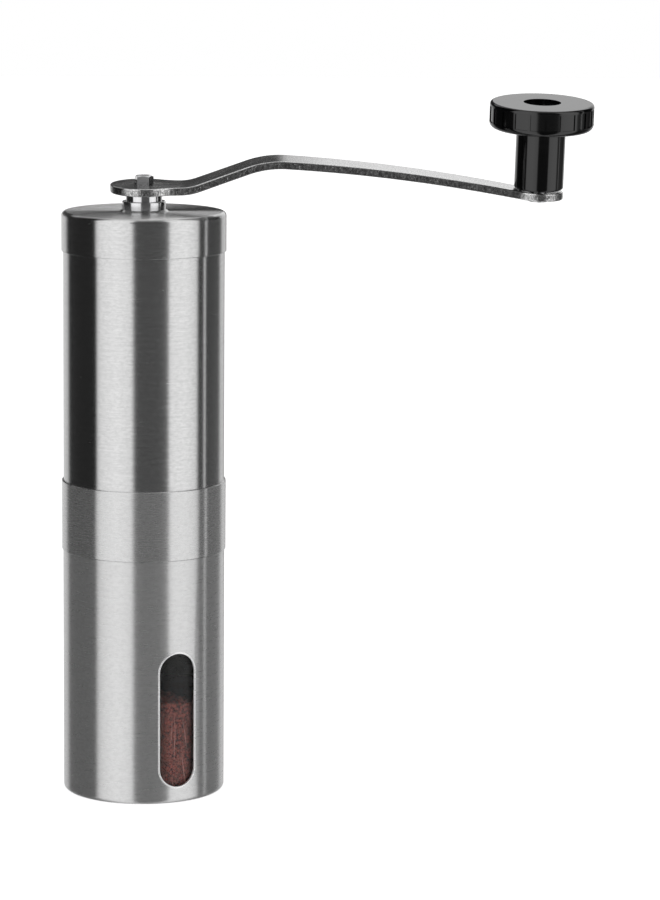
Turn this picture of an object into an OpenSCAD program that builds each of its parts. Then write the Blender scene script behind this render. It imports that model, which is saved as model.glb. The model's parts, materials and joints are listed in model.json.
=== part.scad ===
// Slim hand crank coffee grinder, standing on its cup.
// Origin: the body's axis at the base. +Z is up, +X runs along the crank arm.

/* [Body] */
// Outer radius of the upper tube
tube_r = 23.5; // [23.3:0.1:23.7]
// Wall thickness of the upper tube
tube_wall = 0.6; // [0.5:0.05:0.7]
// Outer radius of the lid and of the middle band
sleeve_r = 24.0; // [23.9:0.05:24.4]
// Height of the top face of the lid
lid_top_z = 171.3; // [168:0.1:174]
// Height of the lid's skirt
lid_skirt_h = 11.5; // [8:0.1:13]
// Lowest edge of the middle band
band_z = 72.0; // [70:0.1:74]
// Height of the middle band
band_h = 20.4; // [16:0.1:24]

/* [Cup] */
// Outer radius of the cup
cup_r = 23.65; // [23.6:0.05:23.85]
// Rounding of the cup's lower edge
cup_edge_r = 1.3; // [0.8:0.1:2]
// Width of the window slot
slot_w = 11; // [8:0.5:13]
// Lowest point of the window slot
slot_z = 4.9; // [4:0.1:8]
// Length of the window slot
slot_len = 39.6; // [30:0.1:45]
// Bearing of the window slot, from the front towards the arm's side
slot_bearing = 24.9; // [0:0.1:60]

/* [Crank] */
// Thickness of the arm
arm_t = 2.3; // [1.8:0.1:2.8]
// Radius of the arm's hub
hub_r = 9.8; // [9:0.1:11]
// Radius of the arm's eye
eye_r = 7.15; // [7:0.05:8.5]
// Distance from the shaft to the knob's axis
throw = 114.8; // [113:0.1:117]
// Half-width of the strip next to the hub
strip_w_hub = 7.0; // [6:0.1:8]
// Half-width of the strip next to the eye
strip_w_eye = 5.4; // [5:0.1:6]
// Lean of the arm about its own length
arm_lean = 4.2; // [0:0.1:5]

/* [Knob] */
// Radius of the knob's flange
knob_r = 15.15; // [14:0.05:16]
// Height of the knob's flange
knob_flange_h = 7.6; // [6:0.1:9]
// Radius of the knob's stem
stem_r = 7.15; // [6.5:0.05:7.5]
// Height of the knob's stem
stem_h = 17.7; // [14:0.05:20]
// Number of panels round the knob's rim
knob_panels = 20; // [12:1:28]
// Lean of the knob's axis about the arm's length
knob_lean = 6.2; // [5:0.1:6.5]
// Lean of the knob's axis away from the shaft
knob_side_lean = 1.0; // [0:0.1:2]

/* [Burrs] */
// Number of teeth on the turning burr
cone_teeth = 22; // [16:1:30]
// Number of flutes in the fixed burr
ring_flutes = 28; // [20:1:36]
// Half-angle taper of the burrs, as radius lost per millimetre of height
burr_taper = 0.22; // [0.18:0.01:0.24]

/* [Hidden] */
$fn = 96;
eps = 0.01;
steel = "silver";
black = "dimgray";

// Clearance of a piece that slides or turns in another, measured on the radius
run_gap = 0.08;
// Clearance between pieces that are seated on one another
seat_gap = 0.05;
// Clearance between pieces that are pressed or screwed together
fit_gap = 0.02;
// Length by which a cut runs past what it cuts
past = 1;
// Length of a bore that goes right through
through = 40;

// Cup
cup_wall = 0.75;
cup_floor = 0.8;
slot_reach = 4;
cup_inner_r = cup_r - cup_wall;
neck_r = tube_r - run_gap;
neck_z = band_z - 0.1;
neck_root_h = 5;
neck_edge_r = 0.25;
neck_top_z = 81.4;
liner_r = cup_inner_r - seat_gap;
liner_wall = 1.1;
liner_z = cup_floor + seat_gap;
liner_floor = 1.0;
liner_top_z = 61.8;
liner_edge_r = 1;
liner_inner_edge_r = 1.5;
liner_lip_r = 0.3;

// Upper body
housing_flange_z = neck_top_z + 0.1;
housing_flange_h = 1;
tube_z = housing_flange_z + housing_flange_h;
tube_inner_r = tube_r - tube_wall;
tube_top_z = lid_top_z - 2.7;
lid_wall = 0.8;
lid_inner_r = tube_r + 0.06;
lid_edge_r = 1.2;
lid_inner_edge_r = lid_edge_r - 0.4;
sleeve_edge_r = 0.15;
lid_rim_r = 0.12;
// Turned-up edge of the hole in the lid
lid_lip_w = 0.9;
lid_lip_h = 0.55;
liner_disc_h = 1.7;
plug_r = tube_inner_r - 0.2;
plug_wall = 1.2;
plug_h = 4;
boss_r = 6.35;
boss_h = 3;
boss_flange_r = 8;
boss_flange_h = 0.8;
boss_edge_r = 0.35;

// Shaft and bearings
rod_r = 3.0;
bush_bore_r = rod_r + seat_gap;
bush_r = 4.6;
bush_flange_r = 6.2;
bush_flange_h = 0.8;
collar_r = 5.3;
collar_low_r = 0.2;
collar_high_r = 0.3;
collar_z = lid_top_z - 7.8;
collar_top_z = lid_top_z + 5.2;
head_r = 2.9;
head_sides = 5;
head_turn = 12;
head_top_z = lid_top_z + 10.4;
head_edge = 0.5;
head_edge_in = 0.8;
rod_bottom_z = 50;
flat_half = 2.5;
flat_top_z = 88.5;
groove_r = 2.4;
clip_h = 1;
clip_w = 1.8;
clip_lip = 0.3;
bracket_z = 155;
clip_z = bracket_z - clip_h - 0.15;
bracket_h = 7;
bracket_hub_r = 7;
bracket_wall = 1.3;
spoke_w = 4;

// Housing and burrs
housing_r = tube_inner_r - seat_gap;
skirt_r = 22.3;
skirt_z = 66;
funnel_z = 87;
funnel_rim = 0.8;
throat_r = 12;
seal_groove_r = 20.9;
seal_z = 75;
seal_h = 2.6;
seal_edge_r = 0.8;
housing_top_z = 104;
burr_top_z = 84;
burr_z = skirt_z;
burr_h = burr_top_z - burr_z;
ring_r = 17.2;
pocket_r = ring_r + seat_gap;
ring_bore_r = 14.6;
burr_gap = 0.45;
tooth_depth = 0.9;
cone_bore_r = 7.0;
cone_overlap = 1;
retainer_h = 2;
retainer_z = burr_z - retainer_h;
retainer_r = skirt_r - 0.2;
retainer_bore_r = 15.4;
spider_z = 90.5;
spider_h = 6;
spider_hub_r = 7.2;
spider_reach = 17;
screw_circle_r = 19.6;
screw_count = 3;
screw_r = 1.2;
screw_head_r = 2.2;
screw_head_h = 1.2;
screw_len = 7;
screw_slot_len = 2.4;
screw_slot_w = 0.5;

// Grind adjustment
core_z = 62.2;
core_flange_r = cone_bore_r + 2.4;
plate_h = 1.8;
plate_z = core_z - plate_h;
dimple_r = 0.6;
dimple_inset = 1.6;
nut_z = 53;
nut_h = plate_z - seat_gap - nut_z;
nut_r = 8.5;
nut_flutes = 12;
flute_r = 1.7;
flute_out = 0.8;
nut_low_r = 0.6;
nut_high_r = 0.3;
insert_r = 5;
core_top_z = burr_top_z + 0.4;
flute_skew = 24;
flute_w = 1.5;
thread_r = rod_r + run_gap;
spring_wire_r = 0.5;
spring_mean_r = 4.6;
spring_turns = 3;
spring_gap = 0.03;
spring_washer_h = 0.6;
spring_washer_z = spider_z - bush_flange_h - spring_washer_h - seat_gap;
spring_low_z = core_top_z + spring_wire_r + spring_gap;
spring_rise = spring_washer_z - spring_wire_r - spring_gap - spring_low_z;

// Arm: the profile is a chain of straights and bends along its top face
hub_lift = 0.35;
hub_z = collar_top_z + hub_lift;
hub_overrun = 4;
hub_waist_r = 14;
eye_waist_r = 6;
rise_angle = 19.8;
crest_angle = -3.5;
tail_angle = -10.5;
eye_angle = -2.2;
hub_flat = 10.4;
bend_in_r = 15;
rise_len = 14.9;
crest_r = 30;
back_r = 511;
tail_len = 6.6;
bend_out_r = 9;
eye_len = 30;
// Each step is [straight length, 0] or [bend radius, angle at its end]
ARM_PATH = [[hub_flat + hub_r + hub_overrun, 0], [bend_in_r, rise_angle], [rise_len, 0],
            [crest_r, crest_angle], [back_r, tail_angle], [tail_len, 0],
            [bend_out_r, eye_angle], [eye_len, 0]];

function is_bend(step) = step[1] != 0;
function end_angle(step, a) = is_bend(step) ? step[1] : a;
function turn_centre(p, a, r, side) = p + side * r * [-sin(a), cos(a)];
function bend_side(step, a) = step[1] > a ? 1 : -1;
function end_point(step, p, a) = is_bend(step)
    ? turn_centre(p, a, step[0], bend_side(step, a))
      - bend_side(step, a) * step[0] * [-sin(step[1]), cos(step[1])]
    : p + step[0] * [cos(a), sin(a)];
// Position and angle of the path before step i
function path_state(i) = i == 0 ? [[-hub_r - hub_overrun, 0], 0]
    : let(s = path_state(i - 1), step = ARM_PATH[i - 1])
      [end_point(step, s[0], s[1]), end_angle(step, s[1])];

// Height of the arm's top face above the hub, at the knob's axis
eye_start = path_state(7);
eye_top = eye_start[0][1] + (throw - eye_start[0][0]) * tan(eye_angle);
washer_t = 0.5;
washer_r = 5.6;
washer_lift = 0.4;
washer_bore_r = 5.8;
knob_low = 0.6;
post_r = 2.5;
well_r = 5.45;
well_h = 3.4;
post_head_r = 4.4;
post_head_h = 1;
post_head_edge_r = 0.4;
post_top = knob_low + stem_h + knob_flange_h - well_h + seat_gap;
foot_r = 3.4;
foot_h = 0.6;
foot_gap = 0.2;
foot_edge_r = 0.3;
panel_depth = 0.3;
panel_low = 1.8;
panel_high = 1.2;
ridge_angle = 2.4;
stem_edge_r = 0.6;
flange_low_r = 1.7;
flange_high_r = 0.9;

// A ring: outer radius, inner radius, height
module ring(r_out, r_in, h) {
    difference() {
        cylinder(r = r_out, h = h);
        translate([0, 0, -past]) cylinder(r = r_in, h = h + 2 * past);
    }
}

// A round-ended slot in the plane, along X, centred
module stadium(length, width) {
    for (side = [-1, 1]) translate([side * (length - width) / 2, 0]) circle(d = width);
    square([length - width, width], center = true);
}

// Outline of a disc whose lower and upper outer corners are rounded
module rounded_outline(r, h, low_r, high_r) {
    difference() {
        square([r, h]);
        if (low_r > 0) corner_cut(r, 0, low_r, 1);
        if (high_r > 0) corner_cut(r, h, high_r, -1);
    }
}

// What rounding takes away from the corner at (x, y); side is 1 for a lower corner
module corner_cut(x, y, r, side) {
    difference() {
        translate([x - r, side > 0 ? y - past : y - r]) square([r + past, r + past]);
        translate([x - r, y + side * r]) circle(r = r);
    }
}

module rounded_disc(r, h, low_r, high_r) {
    rotate_extrude() rounded_outline(r, h, low_r, high_r);
}

// ---- Cup ----

module ground_cup() {
    color(steel) difference() {
        union() {
            rounded_disc(cup_r, neck_z, cup_edge_r, 0);
            translate([0, 0, neck_z - neck_root_h])
                rounded_disc(neck_r, neck_top_z - neck_z + neck_root_h, 0, neck_edge_r);
        }
        translate([0, 0, cup_floor])
            rounded_disc(cup_inner_r, neck_top_z, cup_edge_r - cup_wall, 0);
        window_slot();
    }
}

module window_slot() {
    rotate([0, 0, slot_bearing - 90])
        translate([cup_r - slot_reach, 0, slot_z + slot_len / 2])
            rotate([0, 90, 0]) linear_extrude(height = 2 * slot_reach) stadium(slot_len, slot_w);
}

module cup_liner() {
    color("gainsboro", 0.5) difference() {
        translate([0, 0, liner_z])
            rounded_disc(liner_r, liner_top_z - liner_z, liner_edge_r, liner_lip_r);
        translate([0, 0, liner_z + liner_floor])
            rounded_disc(liner_r - liner_wall, liner_top_z, liner_inner_edge_r, 0);
    }
}

// ---- Upper body ----

module middle_band() {
    color(steel) translate([0, 0, band_z]) difference() {
        rounded_disc(sleeve_r, band_h, sleeve_edge_r, sleeve_edge_r);
        translate([0, 0, -past]) cylinder(r = tube_r, h = band_h + 2 * past);
    }
}

module upper_tube() {
    color(steel) translate([0, 0, tube_z]) ring(tube_r, tube_inner_r, tube_top_z - tube_z);
}

// Skirt in the cup's neck, flange under the tube, funnel, spider and burr pocket
module burr_housing() {
    color(black) {
        difference() {
            union() {
                translate([0, 0, skirt_z]) cylinder(r = skirt_r, h = tube_z - skirt_z);
                translate([0, 0, housing_flange_z])
                    cylinder(r = tube_r - seat_gap, h = housing_flange_h);
                translate([0, 0, tube_z]) cylinder(r = housing_r, h = housing_top_z - tube_z);
            }
            translate([0, 0, skirt_z - past]) cylinder(r = pocket_r, h = burr_h + past);
            translate([0, 0, burr_top_z - past]) cylinder(r = throat_r, h = funnel_z - burr_top_z + 2 * past);
            translate([0, 0, funnel_z])
                cylinder(r1 = throat_r, r2 = housing_r - funnel_rim, h = housing_top_z - funnel_z + eps);
            translate([0, 0, seal_z]) ring(skirt_r + past, seal_groove_r, seal_h);
            retainer_holes(skirt_z - past, screw_r + seat_gap, screw_len);
        }
        spider(spider_z, spider_h, spider_hub_r, spider_reach);
    }
}

// Three arms that meet at a hub bored for a bush
module spider(z, h, hub_radius, reach) {
    translate([0, 0, z]) difference() {
        union() {
            cylinder(r = hub_radius, h = h);
            for (k = [0:2]) rotate([0, 0, 90 + 120 * k])
                translate([0, -spoke_w / 2, 0]) cube([reach, spoke_w, h]);
        }
        translate([0, 0, -past]) cylinder(r = bush_r, h = h + 2 * past);
    }
}

module retainer_holes(z, r, h) {
    for (k = [0:screw_count - 1]) rotate([0, 0, 30 + 360 / screw_count * k])
        translate([screw_circle_r, 0, z]) cylinder(r = r, h = h);
}

module lower_bush() {
    color("peru") difference() {
        union() {
            translate([0, 0, spider_z - bush_flange_h]) cylinder(r = bush_flange_r, h = bush_flange_h);
            translate([0, 0, spider_z - eps]) cylinder(r = bush_r - fit_gap, h = spider_h);
        }
        translate([0, 0, spider_z - through / 2]) cylinder(r = bush_bore_r, h = through);
    }
}

// Fixed ceramic ring with straight flutes down its tapered bore
module outer_burr() {
    taper = atan(burr_taper);
    color("white") translate([0, 0, burr_z]) difference() {
        cylinder(r = ring_r, h = burr_h - seat_gap);
        translate([0, 0, -eps])
            cylinder(r1 = ring_bore_r, r2 = ring_bore_r - burr_taper * burr_h, h = burr_h + eps);
        for (k = [0:ring_flutes - 1]) rotate([0, 0, 360 / ring_flutes * k])
            translate([ring_bore_r, 0, 0]) rotate([0, -taper, 0])
                rotate([0, 0, 45]) cube([tooth_depth, tooth_depth, 3 * burr_h], center = true);
    }
}

module burr_retainer() {
    color("gray") difference() {
        translate([0, 0, retainer_z]) ring(retainer_r, retainer_bore_r, retainer_h - fit_gap);
        retainer_holes(retainer_z - past, screw_r + seat_gap, retainer_h + 2 * past);
    }
}

module retainer_screws() {
    color(steel) difference() {
        union() {
            retainer_holes(retainer_z - fit_gap - screw_head_h, screw_head_r, screw_head_h);
            retainer_holes(retainer_z - 0.1, screw_r, screw_len);
        }
        for (k = [0:screw_count - 1]) rotate([0, 0, 30 + 360 / screw_count * k])
            translate([screw_circle_r, 0, retainer_z - screw_head_h])
                for (turn = [0, 90]) rotate([0, 0, turn])
                    cube([screw_slot_len, screw_slot_w, 1], center = true);
    }
}

module cup_seal() {
    color("black") translate([0, 0, seal_z + 0.1]) difference() {
        rounded_disc(cup_inner_r - run_gap / 2, seal_h - 0.2, seal_edge_r, seal_edge_r);
        translate([0, 0, -past]) cylinder(r = seal_groove_r + fit_gap, h = seal_h + 2 * past);
    }
}

module upper_bracket() {
    color(black) {
        translate([0, 0, bracket_z]) ring(housing_r, housing_r - bracket_wall, bracket_h);
        spider(bracket_z, bracket_h, bracket_hub_r, housing_r - bracket_wall / 2);
    }
}

module upper_bush() {
    color("peru") difference() {
        union() {
            translate([0, 0, bracket_z]) cylinder(r = bush_r - fit_gap, h = bracket_h + eps);
            translate([0, 0, bracket_z + bracket_h]) cylinder(r = bush_flange_r, h = bush_flange_h);
        }
        translate([0, 0, bracket_z - past]) cylinder(r = bush_bore_r, h = through);
    }
}

// ---- Lid ----

module lid() {
    skirt_bottom = lid_top_z - lid_skirt_h;
    color(steel) difference() {
        union() {
            translate([0, 0, skirt_bottom])
                rounded_disc(sleeve_r, lid_skirt_h, lid_rim_r, lid_edge_r);
            translate([0, 0, lid_top_z - eps])
                cylinder(r1 = boss_r + lid_lip_w, r2 = boss_r + lid_lip_w / 4, h = lid_lip_h);
        }
        translate([0, 0, skirt_bottom - past])
            rounded_disc(lid_inner_r, lid_skirt_h + past - lid_wall, 0, lid_inner_edge_r);
        translate([0, 0, lid_top_z - through / 2]) cylinder(r = boss_r + eps, h = through);
    }
}

module lid_collar() {
    color("gainsboro") difference() {
        union() {
            translate([0, 0, lid_top_z - lid_wall - boss_flange_h])
                cylinder(r = boss_flange_r, h = boss_flange_h);
            translate([0, 0, lid_top_z - lid_wall - 0.1])
                rounded_disc(boss_r, boss_h + lid_wall + 0.1, 0, boss_edge_r);
        }
        translate([0, 0, lid_top_z - through / 2]) cylinder(r = collar_r + run_gap, h = through);
    }
}

module lid_liner() {
    color(black) difference() {
        union() {
            translate([0, 0, tube_top_z + 0.1])
                rounded_disc(lid_inner_r - seat_gap - eps, liner_disc_h, 0, lid_inner_edge_r);
            translate([0, 0, tube_top_z - plug_h]) cylinder(r = plug_r, h = plug_h + 0.2);
        }
        translate([0, 0, tube_top_z - plug_h - past]) cylinder(r = plug_r - plug_wall, h = plug_h + past);
        translate([0, 0, tube_top_z - past]) cylinder(r = boss_flange_r + 0.2, h = through);
    }
}

// ---- Shaft ----

module shaft() {
    color(steel) difference() {
        union() {
            translate([0, 0, rod_bottom_z]) cylinder(r = rod_r, h = collar_top_z - rod_bottom_z);
            shaft_head();
        }
        for (side = [-1, 1]) translate([0, side * (flat_half + rod_r), rod_bottom_z])
            cube([4 * rod_r, 2 * rod_r, 2 * (flat_top_z - rod_bottom_z)], center = true);
        translate([0, 0, clip_z - seat_gap]) ring(rod_r + past, groove_r, clip_h + 2 * seat_gap);
    }
}

// Five-sided head, its top corners turned off
module shaft_head() {
    head_h = head_top_z - collar_top_z;
    translate([0, 0, collar_top_z - eps]) intersection() {
        rotate([0, 0, head_turn]) cylinder(r = head_r, h = head_h + eps, $fn = head_sides);
        union() {
            cylinder(r = head_r + past, h = head_h - head_edge);
            translate([0, 0, head_h - head_edge - eps])
                cylinder(r1 = head_r, r2 = head_r - head_edge_in, h = head_edge + 2 * eps);
        }
    }
}

module drive_collar() {
    color("gainsboro") translate([0, 0, collar_z]) difference() {
        rounded_disc(collar_r, collar_top_z - collar_z, collar_low_r, collar_high_r);
        translate([0, 0, -past]) cylinder(r = rod_r + fit_gap, h = through);
    }
}

module thrust_washer() {
    washer_z = bracket_z + bracket_h + bush_flange_h + seat_gap;
    color(steel) translate([0, 0, washer_z])
        ring(bush_flange_r - 0.4, rod_r + fit_gap, collar_z - washer_z - fit_gap);
}

// Open clip snapped into the groove under the upper bush
module shaft_clip() {
    color(steel) translate([0, 0, clip_z]) difference() {
        ring(rod_r + clip_w, groove_r + fit_gap, clip_h);
        translate([0, -groove_r + clip_lip, -past])
            cube([2 * rod_r, 2 * (groove_r - clip_lip), clip_h + 2 * past]);
    }
}

// Wire centre of the spring at turn t, and the section's frame there
function spring_point(t, a) = let(c = 360 * t, r = spring_mean_r + spring_wire_r * cos(a))
    [r * cos(c), r * sin(c), spring_low_z + spring_rise * t / spring_turns + spring_wire_r * sin(a)];

module burr_spring() {
    sides = 8;
    steps = 24 * spring_turns;
    points = [for (i = [0:steps], j = [0:sides - 1])
        spring_point(i * spring_turns / steps, 360 / sides * j)];
    walls = [for (i = [0:steps - 1], j = [0:sides - 1])
        let(a = i * sides + j, b = i * sides + (j + 1) % sides)
        [a, b, b + sides, a + sides]];
    start = [for (j = [sides - 1:-1:0]) j];
    finish = [for (j = [0:sides - 1]) steps * sides + j];
    color(steel) polyhedron(points = points, faces = concat([start, finish], walls), convexity = 8);
}

module spring_washer() {
    color(steel) translate([0, 0, spring_washer_z])
        ring(spring_mean_r + 2 * spring_wire_r, rod_r + seat_gap, spring_washer_h);
}

// ---- Turning burr ----

// Ceramic cone with skewed flutes, which leave its helical teeth standing
module inner_burr() {
    foot_r = ring_bore_r - burr_gap + burr_taper;
    cone_h = burr_h + cone_overlap - 0.2;
    taper = atan(burr_taper);
    color("white") translate([0, 0, burr_z - cone_overlap]) difference() {
        cylinder(r1 = foot_r, r2 = foot_r - burr_taper * cone_h, h = cone_h);
        translate([0, 0, -past]) cylinder(r = cone_bore_r, h = cone_h + 2 * past);
        for (k = [0:cone_teeth - 1]) rotate([0, 0, 360 / cone_teeth * k])
            translate([foot_r - burr_taper * cone_h / 2, 0, cone_h / 2])
                rotate([0, -taper, 0]) rotate([flute_skew, 0, 0])
                    rotate([0, 0, 45]) cube([flute_w, flute_w, 3 * burr_h], center = true);
    }
}

module burr_core() {
    color("gray") difference() {
        union() {
            translate([0, 0, core_z])
                cylinder(r = core_flange_r, h = burr_z - cone_overlap - core_z - fit_gap);
            translate([0, 0, core_z + 1]) cylinder(r = cone_bore_r - fit_gap, h = core_top_z - core_z - 1);
        }
        keyed_bore(core_z - past);
    }
}

// Bore with two flats, which slides on the shaft but turns with it
module keyed_bore(z) {
    translate([0, 0, z]) intersection() {
        cylinder(r = rod_r + seat_gap, h = through);
        translate([-2 * rod_r, -flat_half - seat_gap, 0])
            cube([4 * rod_r, 2 * (flat_half + seat_gap), through]);
    }
}

module click_plate() {
    color(black) difference() {
        translate([0, 0, plate_z]) cylinder(r = nut_r, h = plate_h - fit_gap);
        keyed_bore(plate_z - past);
        for (k = [0:nut_flutes - 1]) rotate([0, 0, 360 / nut_flutes * k])
            translate([nut_r - dimple_inset, 0, plate_z - dimple_r / 2]) cylinder(r = dimple_r, h = 0.8);
    }
}

module adjusting_nut() {
    color(black) difference() {
        translate([0, 0, nut_z]) rounded_disc(nut_r, nut_h, nut_low_r, nut_high_r);
        translate([0, 0, nut_z - past]) cylinder(r = insert_r, h = nut_h + 2 * past);
        for (k = [0:nut_flutes - 1]) rotate([0, 0, 360 / nut_flutes * k])
            translate([nut_r + flute_out, 0, nut_z - past]) cylinder(r = flute_r, h = nut_h + 2 * past);
    }
}

module nut_insert() {
    color("goldenrod") translate([0, 0, nut_z]) ring(insert_r - fit_gap, thread_r, nut_h);
}

// ---- Crank arm ----

// One step of the side profile: a band arm_t thick below the path's line
module profile_step(i) {
    s = path_state(i);
    step = ARM_PATH[i];
    p = s[0];
    a = s[1];
    if (is_bend(step)) bend_band(p, a, step[0], step[1], bend_side(step, a));
    else translate(p) rotate(a) translate([-eps, -arm_t]) square([step[0] + 2 * eps, arm_t]);
}

// Part of a flat ring round the bend's centre, cut to the bend's two angles
module bend_band(p, a, r, a_end, side) {
    c = turn_centre(p, a, r, side);
    r_out = side > 0 ? r + arm_t : r;
    r_in = side > 0 ? r : r - arm_t;
    n = [for (ang = [a, a_end]) -side * [-sin(ang), cos(ang)]];
    intersection() {
        translate(c) difference() {
            circle(r = r_out, $fn = 360);
            circle(r = r_in, $fn = 360);
        }
        polygon([c + n[0] * (r_in - 1), c + n[0] * (r_out + 1), c + (n[0] + n[1]) / 2 * (r_out + 20),
                 c + n[1] * (r_out + 1), c + n[1] * (r_in - 1)]);
    }
}

module arm_profile() {
    for (i = [0:len(ARM_PATH) - 1]) profile_step(i);
}

function strip_w(x) = strip_w_hub + (strip_w_eye - strip_w_hub) * x / throw;

// Points on an arc round c, from one angle to another
function arc_points(c, r, from, to, steps) =
    [for (k = [0:steps]) let(a = from + (to - from) * k / steps) c + r * [cos(a), sin(a)]];

// Bearing, from a round end of radius r at x, of the centre of the hollow corner beside it.
// side is 1 where the strip leaves the round end, and -1 where it meets it.
function waist_w(x, r, side) = strip_w(x + side * r * 1.4);
function waist_bearing(x, r, fillet, side) =
    90 - side * acos((waist_w(x, r, side) + fillet) / (r + fillet));
function waist_centre(x, r, fillet, side) =
    [x, 0] + (r + fillet) * [cos(waist_bearing(x, r, fillet, side)),
                             sin(waist_bearing(x, r, fillet, side))];

// The arm seen from above: hub, hollow corner, strip, hollow corner, eye
module arm_outline() {
    hub_bearing = waist_bearing(0, hub_r, hub_waist_r, 1);
    eye_bearing = waist_bearing(throw, eye_r, eye_waist_r, -1);
    upper = concat(
        arc_points([0, 0], hub_r, 180, hub_bearing, 20),
        arc_points(waist_centre(0, hub_r, hub_waist_r, 1), hub_waist_r, hub_bearing - 180, -90, 8),
        arc_points(waist_centre(throw, eye_r, eye_waist_r, -1), eye_waist_r,
                   -90, eye_bearing - 180, 8),
        arc_points([throw, 0], eye_r, eye_bearing, 0, 20));
    lower = [for (k = [len(upper) - 2:-1:1]) [upper[k][0], -upper[k][1]]];
    polygon(concat(upper, lower));
}

// Puts its children in the arm's own frame: the hub's underside on the shaft's axis
module arm_frame() {
    translate([0, 0, hub_z]) rotate([arm_lean, 0, 0]) children();
}

module crank_arm() {
    color(steel) arm_frame() difference() {
        intersection() {
            translate([0, 0, arm_t]) rotate([90, 0, 0])
                linear_extrude(height = 4 * hub_r, center = true) arm_profile();
            translate([0, 0, -2 * hub_r]) linear_extrude(height = 5 * hub_r) arm_outline();
        }
        rotate([0, 0, head_turn])
            translate([0, 0, -past])
                cylinder(r = head_r + 0.25, h = arm_t + 2 * past, $fn = head_sides);
        translate([throw, 0, arm_t + eye_top - through / 2]) cylinder(r = post_r + 0.12, h = through);
    }
}

// ---- Knob ----

// Puts its children in the knob's frame: the eye's top face, on the knob's own axis
module knob_frame() {
    arm_frame() translate([throw, 0, arm_t + eye_top])
        rotate([knob_lean - arm_lean, 0, 0]) rotate([0, knob_side_lean, 0]) children();
}

module knob_post() {
    color("gainsboro") knob_frame() {
        foot_z = -arm_t - foot_gap - foot_h;
        translate([0, 0, foot_z]) rounded_disc(foot_r, foot_h, foot_edge_r, 0);
        translate([0, 0, foot_z + foot_h / 2]) cylinder(r = post_r, h = post_top - foot_z - foot_h / 2);
        translate([0, 0, post_top - eps]) rounded_disc(post_head_r, post_head_h, 0, post_head_edge_r);
    }
}

module knob_washer() {
    color(steel) knob_frame() translate([0, 0, washer_lift]) ring(washer_r, post_r + fit_gap, washer_t);
}

module knob() {
    color("black") knob_frame() translate([0, 0, knob_low]) difference() {
        union() {
            rounded_disc(stem_r, stem_h + 1, stem_edge_r, 0);
            translate([0, 0, stem_h])
                rounded_disc(knob_r, knob_flange_h, flange_low_r, flange_high_r);
        }
        translate([0, 0, -past]) cylinder(r = post_r + run_gap, h = through);
        // Recess over the washer
        translate([0, 0, -past])
            cylinder(r = washer_bore_r, h = past + washer_lift + washer_t + seat_gap - knob_low);
        translate([0, 0, stem_h + knob_flange_h - well_h]) cylinder(r = well_r, h = through);
        for (k = [0:knob_panels - 1]) rotate([0, 0, 360 / knob_panels * k]) rim_panel();
    }
}

// One shallow panel of the rim, as far as the ridge before the next
module rim_panel() {
    rotate_extrude(angle = 360 / knob_panels - ridge_angle)
        translate([knob_r - panel_depth, stem_h + panel_low])
            square([2, knob_flange_h - panel_low - panel_high]);
}

ground_cup();
cup_liner();
middle_band();
upper_tube();
burr_housing();
lower_bush();
outer_burr();
burr_retainer();
retainer_screws();
cup_seal();
upper_bracket();
upper_bush();
lid();
lid_collar();
lid_liner();
shaft();
drive_collar();
thrust_washer();
shaft_clip();
burr_spring();
spring_washer();
inner_burr();
burr_core();
click_plate();
adjusting_nut();
nut_insert();
crank_arm();
knob_post();
knob_washer();
knob();
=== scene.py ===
"""Looks for a slim hand crank coffee grinder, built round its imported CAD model."""
import json
import math
import random

import bmesh
import bpy
from mathutils import Matrix, Vector


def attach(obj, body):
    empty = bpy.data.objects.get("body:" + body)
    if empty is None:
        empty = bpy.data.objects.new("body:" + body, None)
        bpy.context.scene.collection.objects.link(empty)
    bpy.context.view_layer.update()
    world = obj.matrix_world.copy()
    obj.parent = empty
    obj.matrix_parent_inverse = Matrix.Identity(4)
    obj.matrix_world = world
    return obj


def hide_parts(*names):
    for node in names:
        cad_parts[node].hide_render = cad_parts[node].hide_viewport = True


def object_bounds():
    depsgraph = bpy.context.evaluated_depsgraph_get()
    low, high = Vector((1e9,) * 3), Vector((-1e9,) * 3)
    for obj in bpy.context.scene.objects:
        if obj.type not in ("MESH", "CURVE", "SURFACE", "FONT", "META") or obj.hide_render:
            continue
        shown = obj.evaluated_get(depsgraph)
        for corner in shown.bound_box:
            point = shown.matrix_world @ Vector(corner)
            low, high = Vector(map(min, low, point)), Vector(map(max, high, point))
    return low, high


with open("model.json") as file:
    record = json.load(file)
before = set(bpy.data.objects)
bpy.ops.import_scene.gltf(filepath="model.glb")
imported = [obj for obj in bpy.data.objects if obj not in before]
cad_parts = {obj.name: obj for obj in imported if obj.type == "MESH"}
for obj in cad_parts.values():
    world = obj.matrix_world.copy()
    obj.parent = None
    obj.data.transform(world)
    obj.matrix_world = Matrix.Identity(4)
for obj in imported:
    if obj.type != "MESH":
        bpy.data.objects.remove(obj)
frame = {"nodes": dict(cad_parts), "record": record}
cad_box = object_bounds()
nodes = frame["nodes"]
MM = 0.001
scene = bpy.context.scene


# The cup's outside and its window, in mm, as the CAD model has them
CUP_R = 23.65
SLOT_W = 11.0
SLOT_Z = 4.9
SLOT_LEN = 39.6
SLOT_BEARING = math.radians(24.9)


# ---------------------------------------------------------------- camera

LENS = 160.0
CAM_DISTANCE = 1.158
CAM_HEIGHT = 0.291
CAM_PITCH = math.radians(9.31)
CAM_YAW = math.radians(2.70)
CAM_ROLL = math.radians(0.44)
SENSOR_WIDTH = 36.0
CLIP_START = 0.05


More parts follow.
